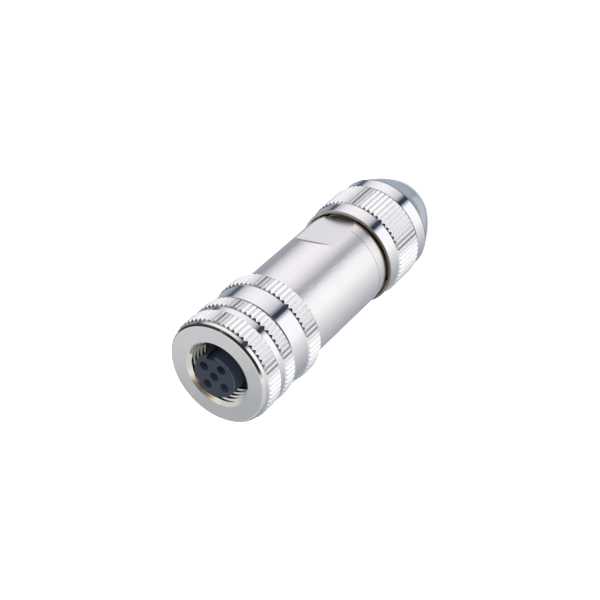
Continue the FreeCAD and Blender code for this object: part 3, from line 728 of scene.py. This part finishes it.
@dataclass
class Shell:
    """Satin shell with two wrench flats, a tapered tail and a rounded polished lip."""

    length: float = 23.7
    radius: float = 8.95
    lip_radius: float = 8.75
    lip: float = 0.95
    lip_round: float = 0.15
    tail_step: float = 0.05
    tail: float = 2.1
    tail_line: float = 0.12
    edge: float = 0.12
    counter_radius: float = 7.85
    counter_depth: float = 6.4
    throat: float = 6.4
    bore: float = 6.9
    bore_length: float = 11.0
    neck: float = 11.3
    neck_radius: float = 7.85
    neck_edge: float = 0.4
    thread_gap: float = 1.4
    thread_depth: float = 0.4
    flat: float = 8.0
    flat_low: float = -0.4
    flat_length: float = 8.65
    run_out: float = 1.8
    broken: float = 0.05
    finishes: tuple[Finish, ...] = (SATIN_NICKEL, LIP_NICKEL, RUN_OUT_PAINTED_SHADE, NECK_PAINTED_SHADE,
                                    EDGE_LINE_PAINTED_SHADE)

    def build(self) -> None:
        """Build, cut and dress the shell."""
        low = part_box("shell")[0].z / MM + self.neck
        shell = Turning("shell_turning", low)
        shell.add_circles((-self.neck, self.bore),
                          (-self.neck, self.neck_radius - self.neck_edge))
        shell.add_outer_thread(-self.neck + self.neck_edge, -self.thread_gap,
                               self.neck_radius, self.thread_depth)
        shell.add_circles((0.0, self.neck_radius))
        shell.add_arc((0.0, self.lip_radius - self.lip_round),
                      (self.lip_round, self.lip_radius), self.lip_round, steps=5)
        shell.add_circles((self.lip, self.lip_radius),
                          (self.lip, self.lip_radius + self.tail_step))
        # Circle that starts the painted shade line at the head of the tail.
        shell.add_circles((self.lip + self.tail - self.tail_line,
                           self.radius - self.tail_line / self.tail
                           * (self.radius - self.lip_radius - self.tail_step)),
                          edge=Edge.SOFT)
        floor = self.length - self.counter_depth
        shell.add_circles((self.lip + self.tail, self.radius),
                          (self.length - self.edge, self.radius),
                          (self.length, self.radius - self.edge),
                          (self.length, self.counter_radius), (floor, self.counter_radius),
                          (floor, self.throat), (self.bore_length, self.throat),
                          (self.bore_length, self.bore))
        piece = shell.build(self.broken)
        piece.modifiers.clear()
        cut_away(piece, self.flat_cutter(low))
        for face in piece.data.polygons:
            face.material_index = self.finishes.index(self.finish(face, low))
        mark_edges(piece, math.pi)
        dress(piece, self.finishes, "housing", "shell")

    def finish(self, face: MeshPolygon, low: float) -> Finish:
        """Tell which finish a face has.

        Args:
            face: Face of the shell.
            low: Height of the shell's shoulder in millimetres.

        Returns:
            The finish.
        """
        radius, height = reach(face), face.center.z / MM - low
        milled = abs(abs(face.center.x) / MM - self.flat) <= HAIR
        outside = radius > self.bore + WALL_MARGIN
        line = self.lip + self.tail
        # Painted shade: the sloping run-out faces of the flats are coloured darker.
        if abs(face.normal.x) > SIDEWAYS and abs(face.normal.z) > SLOPING and height > self.tail:
            return RUN_OUT_PAINTED_SHADE
        # Painted shade: the neck inside the nut's mouth is coloured dark brown grey.
        if (-self.thread_gap < height < HAIR and outside
                and radius < self.lip_radius - self.lip_round):
            return NECK_PAINTED_SHADE
        if height < -self.thread_gap and outside:
            return SATIN_NICKEL
        if (height < self.lip + HAIR and not milled) or radius < self.neck_radius - MARGIN:
            return LIP_NICKEL
        # Painted shade: a thin darker line where the tail cone meets the cylinder.
        if line - self.tail_line < height < line and not milled:
            return EDGE_LINE_PAINTED_SHADE
        return SATIN_NICKEL

    def flat_cutter(self, low: float) -> Object:
        """Make the two blocks that cut the wrench flats.

        Args:
            low: Height of the shell's shoulder in millimetres.

        Returns:
            One object with both blocks.
        """
        wide = 2 * self.radius
        ramp = self.run_out * (wide - self.flat) / (self.radius - self.flat)
        outline = [(self.flat, self.flat_low), (wide, self.flat_low),
                   (wide, self.flat_length + ramp), (self.flat, self.flat_length)]
        shape = bmesh.new()
        for side in (1.0, -1.0):
            add_prism(shape, *([(side * x, across, low + z) for x, z in outline]
                               for across in (-wide, wide)))
        bmesh.ops.recalc_face_normals(shape, faces=shape.faces)
        return mesh_object("flat_cutter", shape)


def add_prism(shape: BMesh, start: list[Triple], end: list[Triple]) -> None:
    """Add a closed block between two outlines.

    Args:
        shape: Mesh that gets the block.
        start: Corners of the first outline in millimetres.
        end: Triples of the second, in the same order.
    """
    first, last = ([shape.verts.new([part * MM for part in corner]) for corner in ends]
                   for ends in (start, end))
    shape.faces.new(first)
    shape.faces.new(last)
    for number in range(len(first)):
        after = (number + 1) % len(first)
        shape.faces.new((first[number], first[after], last[after], last[number]))


def cut_away(piece: Object, cutter: Object) -> None:
    """Cut one object out of another and drop the cutter.

    Args:
        piece: Object that is cut.
        cutter: Object that cuts.
    """
    cut = piece.modifiers.new("cut", "BOOLEAN")
    cut.operation = "DIFFERENCE"
    cut.solver = "EXACT"
    cut.object = cutter
    bpy.context.view_layer.update()
    graph = bpy.context.evaluated_depsgraph_get()
    mesh = bpy.data.meshes.new_from_object(piece.evaluated_get(graph))
    piece.modifiers.clear()
    spent = (piece.data, cutter.data)
    piece.data = mesh
    bpy.data.objects.remove(cutter)
    for old in spent:
        bpy.data.meshes.remove(old)


def mark_edges(piece: Object, broken: float) -> None:
    """Mark which edges of a cut piece stay crisp and which a small bevel breaks.

    Args:
        piece: Object whose mesh is marked.
        broken: Angle in radians from which a bevel breaks an edge, pi for never.
    """
    shape = bmesh.new()
    shape.from_mesh(piece.data)
    bmesh.ops.remove_doubles(shape, verts=shape.verts, dist=CUT_MERGE)
    bmesh.ops.dissolve_degenerate(shape, edges=shape.edges, dist=CUT_MERGE)
    weight = shape.edges.layers.float.get("bevel_weight_edge")
    weight = weight or shape.edges.layers.float.new("bevel_weight_edge")
    for face in shape.faces:
        face.smooth = True
    for edge in shape.edges:
        angle = bend(edge)
        edge[weight] = 1.0 if angle > broken else 0.0
        edge.smooth = not CUT_CRISP < angle <= broken
    shape.to_mesh(piece.data)
    shape.free()


@dataclass
class PressingNut:
    """Pressing nut with a smooth collar, a knurl, a smooth band and a domed tail."""

    length: float = 19.45
    band: float = 9.5
    flat_radius: float = 5.9
    tail_edge: float = 0.3
    dome: float = 6.6
    dome_edge: float = 0.2
    step_line: float = 0.16
    dome_radius: float = 24.0
    rear_band: float = 3.15
    knurl: float = 6.8
    front_edge: float = 0.15
    outlet: float = 4.2
    outlet_length: float = 2.0
    cone: float = 7.0
    cone_length: float = 5.0
    floor_rise: float = 0.6
    bore: float = 8.15
    rebate: float = 9.0
    rebate_length: float = 1.95
    broken: float = 0.08
    finishes: tuple[Finish, ...] = (POLISHED_NICKEL, RIM_NICKEL_PAINTED_SHADE, STEP_LINE_PAINTED_SHADE, KNURLED_NICKEL)

    def build(self) -> None:
        """Build and dress the nut."""
        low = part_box("pressing_nut")[0].z / MM
        knurl_low = self.dome + self.rear_band
        dome_end = self.dome + self.dome_edge
        ledge = self.length - self.rebate_length
        cone_end = self.outlet_length + self.cone_length
        nut = Turning("pressing_nut_turning", low)
        nut.add_circles((0.0, self.outlet), (0.0, self.flat_radius))
        nut.add_arc((self.tail_edge, self.flat_radius + self.tail_edge),
                    (self.dome, self.band - self.dome_edge), self.dome_radius, steps=12)
        nut.add_circles((dome_end, self.band))
        # Circles that bound the strips of painted shade beside the dome and the knurl.
        nut.add_circles((dome_end + self.step_line, self.band),
                        (knurl_low - self.step_line, self.band), edge=Edge.SOFT)
        nut.add_knurl(knurl_low, knurl_low + self.knurl, self.band)
        nut.add_circles((self.length - self.front_edge, self.band),
                        (self.length, self.band - self.front_edge),
                        (self.length, self.rebate), (ledge, self.rebate),
                        (ledge - self.rebate + self.bore, self.bore),
                        (cone_end + self.floor_rise, self.bore), (cone_end, self.cone),
                        (self.outlet_length, self.outlet))
        piece = nut.build(self.broken)
        rim, step = (self.finishes.index(kind) for kind in (RIM_NICKEL_PAINTED_SHADE, STEP_LINE_PAINTED_SHADE))
        for face in piece.data.polygons:
            height = face.center.z / MM - low
            # The front face and the rebate take the rim finish with its painted shade.
            if self.length - height < self.rebate_length + NEAR and reach(face) < self.band - NEAR:
                face.material_index = rim
            # Painted shade: thin dark strips at the dome's step and behind the knurl.
            elif (self.dome < height < dome_end + self.step_line
                  or knurl_low - self.step_line < height < knurl_low):
                face.material_index = step
        nut.finish_teeth(piece, self.band, self.finishes.index(KNURLED_NICKEL))
        dress(piece, self.finishes, "pressing_nut", "pressing_nut")


@dataclass
class ContactInsert:
    """Dark insert with a rounded rim, a key slot and five lightly broken socket holes."""

    radius: float = 3.9
    nose_radius: float = 4.1
    nose: float = 5.9
    rim: float = 0.25
    key_width: float = 1.6
    key_depth: float = 0.7
    circle: float = 2.5
    bore: float = 0.78
    entry: float = 0.85
    entry_depth: float = 1.8
    over: float = 1.0
    facets: int = 160
    hole_facets: int = 40
    rim_steps: int = 6
    broken: float = 0.05

    def build(self) -> None:
        """Build, cut and dress the insert."""
        low, high = (corner.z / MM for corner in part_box("contact_insert"))
        shoulder = high - self.nose
        outline = [(low, 0.0), (low, self.radius), (shoulder, self.radius),
                   (shoulder, self.nose_radius)]
        for step in range(self.rim_steps + 1):
            turn = math.pi / 2 * step / self.rim_steps
            outline.append((high - self.rim + self.rim * math.sin(turn),
                            self.nose_radius - self.rim + self.rim * math.cos(turn)))
        outline.append((high, 0.0))
        shape = bmesh.new()
        spin_outline(shape, outline, self.facets, Vector((0.0, 0.0)))
        piece = mesh_object("contact_insert_moulding", shape)
        cut_away(piece, self.cutter(low, high, shoulder))
        finishes = (INSERT_PLASTIC, INSERT_WALL_PAINTED_LIGHT_AND_SHADE, INSERT_RIM_PAINTED_HIGHLIGHTS)
        for face in piece.data.polygons:
            rise = face.normal.z
            # The rim takes painted highlights, the walls painted light and shade, the face the
            # plain plastic.
            kind = (INSERT_PLASTIC if rise > UPWARD else
                    INSERT_RIM_PAINTED_HIGHLIGHTS if SLOPING < rise < UPWARD else INSERT_WALL_PAINTED_LIGHT_AND_SHADE)
            face.material_index = finishes.index(kind)
        mark_edges(piece, CUT_BROKEN)
        break_edges(piece, self.broken)
        dress(piece, finishes, "head", "contact_insert")

    def cutter(self, low: float, high: float, shoulder: float) -> Object:
        """Make the holes and the key slot as one object that cuts.

        Args:
            low: Height of the insert's back in millimetres.
            high: Height of its face.
            shoulder: Height where the nose starts.

        Returns:
            The object with all the cutting shapes.
        """
        shape = bmesh.new()
        step = self.circle * math.cos(math.pi / 4)
        bottom, top, entry = low - self.over, high + self.over, high - self.entry_depth
        hole = [(bottom, 0.0), (bottom, self.bore), (entry, self.bore), (entry, self.entry),
                (top, self.entry), (top, 0.0)]
        for x, y in ((0.0, 0.0), (step, step), (-step, step), (-step, -step), (step, -step)):
            spin_outline(shape, hole, self.hole_facets, Vector((x, y)))
        inner, outer, half = (self.nose_radius - self.key_depth,
                              self.nose_radius + self.key_depth, self.key_width / 2)
        corners = [(inner, -half), (outer, -half), (outer, half), (inner, half)]
        add_prism(shape, *([(x, y, z) for x, y in corners] for z in (shoulder, top)))
        bmesh.ops.recalc_face_normals(shape, faces=shape.faces)
        return mesh_object("insert_cutter", shape)


def spin_outline(shape: BMesh, outline: list[Pair], facets: int, centre: Vector) -> None:
    """Spin an outline that starts and ends on its axis into a closed solid.

    Args:
        shape: Mesh that gets the solid.
        outline: Height and radius of each point in millimetres.
        facets: Faces around the axis.
        centre: Place of the axis in millimetres.
    """
    rings = []
    for height, radius in outline:
        turns = [2 * math.pi * side / facets for side in range(facets if radius else 1)]
        rings.append([shape.verts.new(((centre.x + radius * math.cos(turn)) * MM,
                                       (centre.y + radius * math.sin(turn)) * MM, height * MM))
                      for turn in turns])
    for lower, upper in zip(rings, rings[1:]):
        for side in range(facets):
            after = (side + 1) % facets
            corners = [lower[side % len(lower)], lower[after % len(lower)],
                       upper[after % len(upper)], upper[side % len(upper)]]
            shape.faces.new(list(dict.fromkeys(corners)))
    bmesh.ops.recalc_face_normals(shape, faces=shape.faces)


@dataclass
class Insides:
    """Solids whose shape is already right and that only get their finish."""

    finishes: dict[str, Finish] = field(default_factory=lambda: {
        "clamping_cage": NYLON_DARK,
        "thrust_washer": NYLON_NATURAL,
        "gland_seal": RUBBER,
        "spacer_sleeve": NYLON_NATURAL,
        "screen_clamp": SCREEN_METAL,
        "carrier_seal": RUBBER,
        "terminal_block": BLOCK_PLASTIC,
        "terminal_screws": STEEL,
        **{f"contact_{number}": GOLD for number in range(1, 6)},
        "front_bushing": DULL_NICKEL_PAINTED_SHADE,
        "face_seal": RUBBER,
        "nut_snap_ring": STEEL,
    })

    def build(self) -> None:
        """Dress each solid."""
        for name, finish in self.finishes.items():
            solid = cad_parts[name]
            solid.data.materials.clear()
            solid.data.materials.append(finish.material())
            LOG.info("%s: dressed as %s", name, finish.name)


# Colour of the tent's wall by compass direction, in degrees about +Z
WALL = ((-180, "#999fa5"), (-168, "#a6aaaf"), (-154, "#b4b6ba"), (-140, "#c4c5c8"),
        (-126, "#d6d6d8"), (-112, "#e7e7e8"), (-98, "#fcfbfb"), (-86, "#ffffff"),
        (-55, "#ffffff"), (-50, "#e9ebef"), (-45, "#8e95a1"), (-42, "#383f4a"),
        (-35, "#383f4a"), (-31, "#858b97"), (-24, "#c6c8ce"), (-14, "#e2e0e3"),
        (0, "#f3f0f3"), (14, "#f8f6f8"), (28, "#f5f3f6"), (42, "#edebee"), (53, "#d4d5da"),
        (61, "#bbbfc7"), (68, "#676e7a"), (75, "#454c58"), (82, "#7d8490"), (90, "#989da6"),
        (100, "#a0a4ab"), (114, "#a6aab0"), (126, "#aeb2b8"), (142, "#a4a8ae"),
        (162, "#949aa0"), (180, "#999fa5"))
# Colour of the table that the dome mirrors, the same way
TABLE = ((-180, "#b6bdc4"), (-160, "#bcc0c5"), (-140, "#9fa4aa"), (-33, "#8f959f"),
         (52, "#a6aab0"), (95, "#9ea9b5"), (117, "#9aa3af"), (132, "#929ca7"),
         (149, "#afb7be"), (168, "#b9c0c6"), (180, "#b6bdc4"))
# Colour of the tent's roof, from straight down to straight up
ROOF = [(0.0, "#a9afb6"), (0.05, "#a9afb6"), (0.5, "#cccdcd"), (1.0, "#d8d8d7")]
# Share of the roof in the tent, from straight down to straight up
ROOF_SHARE = [(0.0, "#000000"), (0.58, "#000000"), (0.74, "#ffffff"), (1.0, "#ffffff")]
# Colour of the dark room behind the camera, from its rim inward
ROOM = [(0.60, "#eeebe6"), (0.68, "#cbbcac"), (0.75, "#5a4c46"), (0.84, "#332b29")]
WHITE = (1.0, 1.0, 1.0, 1.0)


@dataclass
class Studio:
    """White table, soft light and the camera at the photograph's angle.

    Attributes:
        right: Direction of the photograph's right side.
        down: Direction of its lower side.
        ahead: Direction that the camera looks in.
        spot: Place of the camera in metres.
        lens: Focal length in millimetres.
        middle: Point that the lamps and the dark room face.
        foot: Share of the way up where the table gives way to the wall.
        rim: Where the dark room behind the camera starts and is full.
        strip: Direction across the dark strip that only the chamfers mirror.
        strip_edge: Distance from its middle where the strip starts and is full.
        strip_side: The same along +Y.
        strip_low: The same along +Z.
        strip_colour: Colour in the strip.
        mirrored: Strength of the tent as metal mirrors it.
        soft: Strength of its light on everything else.
        soft_colour: Colour of that light.
        glow: Strength of the table's own light, seen by the camera alone.
        floor_colour: Colour of the table.
    """

    right: Triple = (-0.13569447, -0.82630461, -0.54663306)
    down: Triple = (-0.84566481, -0.19085311, 0.49842364)
    ahead: Triple = (-0.51617637, 0.52990167, -0.67287902)
    spot: Triple = (0.144115, -0.148151, 0.222951)
    lens: float = 95.1876
    middle: Triple = (0.0, 0.0, 0.03)
    foot: Pair = (0.03, 0.075)
    rim: Pair = (0.35, 0.60)
    strip: Triple = (0.594, 0.009, -0.804)
    strip_edge: Pair = (0.20, 0.12)
    strip_side: Pair = (0.12, 0.28)
    strip_low: Pair = (-0.1, 0.05)
    strip_colour: str = "#453b38"
    mirrored: float = 1.2
    soft: float = 0.75
    soft_colour: str = "#f4f5f7"
    glow: float = 0.35
    floor_colour: str = "#f2f2f2"

    def build(self) -> None:
        """Build the whole studio."""
        self.add_floor()
        self.add_world()
        self.add_lamps()
        self.add_camera()
        bpy.context.scene.view_settings.view_transform = "Standard"

    def add_floor(self) -> None:
        """Lay a wide pale floor under the connector."""
        shape = bmesh.new()
        bmesh.ops.create_circle(shape, cap_ends=True, segments=96, radius=3.0)
        floor = mesh_object("floor", shape)
        material = bpy.data.materials.new("white_table")
        tree = clean_tree(material)
        plain = add_node(tree, "BsdfDiffuse", {"Color": linear(self.floor_colour)})
        glow = add_node(tree, "Emission", {"Color": WHITE, "Strength": self.glow})
        both = add_node(tree, "AddShader", None, {0: plain, 1: glow})
        path = add_node(tree, "LightPath").outputs["Is Camera Ray"]
        seen = add_node(tree, "MixShader", None, {0: path, 1: plain, 2: both})
        add_node(tree, "OutputMaterial", None, {"Surface": seen})
        floor.data.materials.append(material)
        floor.visible_glossy = False

    def add_world(self) -> None:
        """Surround the connector with a tent: table, wall, roof, dark room and dark strip."""
        world = bpy.data.worlds.new("light_tent")
        bpy.context.scene.world = world
        tree = clean_tree(world)
        way = add_node(tree, "TexCoord").outputs["Generated"]
        x, y, z = add_node(tree, "SeparateXYZ", None, {0: way}).outputs
        around = add_node(tree, "Math", {"operation": "ARCTAN2"}, {0: y, 1: x})
        turn = add_node(tree, "MapRange", {"From Min": -math.pi, "From Max": math.pi},
                        {"Value": around}).outputs[0]
        rise = add_node(tree, "MapRange", {"From Min": -1.0, "From Max": 1.0},
                        {"Value": z}).outputs[0]
        behind = (Vector(self.spot) - Vector(self.middle)).normalized()
        near = add_node(tree, "VectorMath", {"operation": "DOT_PRODUCT", 1: tuple(behind)},
                        {0: way}).outputs["Value"]
        tent = add_ramp(tree, turn, self.compass(TABLE))
        for share, colour in (
                (add_fade(tree, rise, self.foot), add_ramp(tree, turn, self.compass(WALL))),
                (add_ramp(tree, rise, ROOF_SHARE), add_ramp(tree, rise, ROOF)),
                (add_fade(tree, near, self.rim), add_ramp(tree, near, ROOM))):
            tent = add_node(tree, "Mix", {"data_type": "RGBA"},
                            {0: share, 6: tent, 7: colour}).outputs[2]
        tent = add_node(tree, "Mix", {"data_type": "RGBA", 7: linear(self.strip_colour)},
                        {0: self.dark_strip(tree, way), 6: tent}).outputs[2]
        mirror = add_node(tree, "Background", {"Strength": self.mirrored}, {"Color": tent})
        soft = add_node(tree, "Background", {"Color": linear(self.soft_colour),
                                             "Strength": self.soft})
        white = add_node(tree, "Background", {"Color": WHITE, "Strength": 1.0})
        path = add_node(tree, "LightPath")
        lit = add_node(tree, "MixShader", None,
                       {0: path.outputs["Is Glossy Ray"], 1: soft, 2: mirror})
        seen = add_node(tree, "MixShader", None,
                        {0: path.outputs["Is Camera Ray"], 1: lit, 2: white})
        add_node(tree, "OutputWorld", None, {"Surface": seen})

    def dark_strip(self, tree: NodeTree, way: NodeSocket) -> NodeSocket:
        """Mark the dark strip beyond the tent that only the chamfers mirror.

        Args:
            tree: Node tree of the world.
            way: Direction looked at.

        Returns:
            Socket that is one in the strip and zero outside it.
        """
        across = add_node(tree, "VectorMath", {"operation": "DOT_PRODUCT", 1: self.strip},
                          {0: way}).outputs["Value"]
        off = add_node(tree, "Math", {"operation": "ABSOLUTE"}, {0: across}).outputs[0]
        _, y, z = add_node(tree, "SeparateXYZ", None, {0: way}).outputs
        share = add_fade(tree, off, self.strip_edge)
        for value, ends in ((y, self.strip_side), (z, self.strip_low)):
            share = add_node(tree, "Math", {"operation": "MULTIPLY"},
                             {0: share, 1: add_fade(tree, value, ends)}).outputs[0]
        return share

    @staticmethod
    def compass(stops: tuple[tuple[int, str], ...]) -> Stops:
        """Return stops given from -180 to 180 degrees as stops of a ramp."""
        return [((degree + 180) / 360, colour) for degree, colour in stops]

    def add_lamps(self) -> None:
        """Hang two soft lamps that shade plastic and draw the floor shadow."""
        for name, spot, size, power in (("key_lamp", (0.25, -0.05, 0.55), 0.35, 4.2),
                                        ("fill_lamp", (-0.30, -0.35, 0.45), 0.4, 2.0)):
            data = bpy.data.lights.new(name, "AREA")
            data.shape = "DISK"
            data.size = size
            data.energy = power
            lamp = bpy.data.objects.new(name, data)
            lamp.location = spot
            aim = Vector(self.middle) - lamp.location
            lamp.rotation_euler = aim.to_track_quat("-Z", "Y").to_euler()
            lamp.visible_glossy = False
            bpy.context.scene.collection.objects.link(lamp)

    def add_camera(self) -> None:
        """Place the camera as the photograph was taken."""
        data = bpy.data.cameras.new("camera")
        data.sensor_width = 36.0
        data.lens = self.lens
        data.clip_start = 0.01
        camera = bpy.data.objects.new("camera", data)
        turn = Matrix((self.right, -Vector(self.down), -Vector(self.ahead))).transposed()
        camera.matrix_world = Matrix.Translation(self.spot) @ turn.to_4x4()
        bpy.context.scene.collection.objects.link(camera)
        bpy.context.scene.camera = camera


def main() -> None:
    """Build the connector's looks in order."""
    logging.basicConfig(level=logging.INFO, format="%(name)s %(message)s")
    for part in (CouplingNut(), CarrierSleeve(), Shell(), PressingNut(), ContactInsert(),
                 Insides(), Studio()):
        part.build()
        LOG.info("%s done", type(part).__name__)


if __name__ == "__main__":
    main()
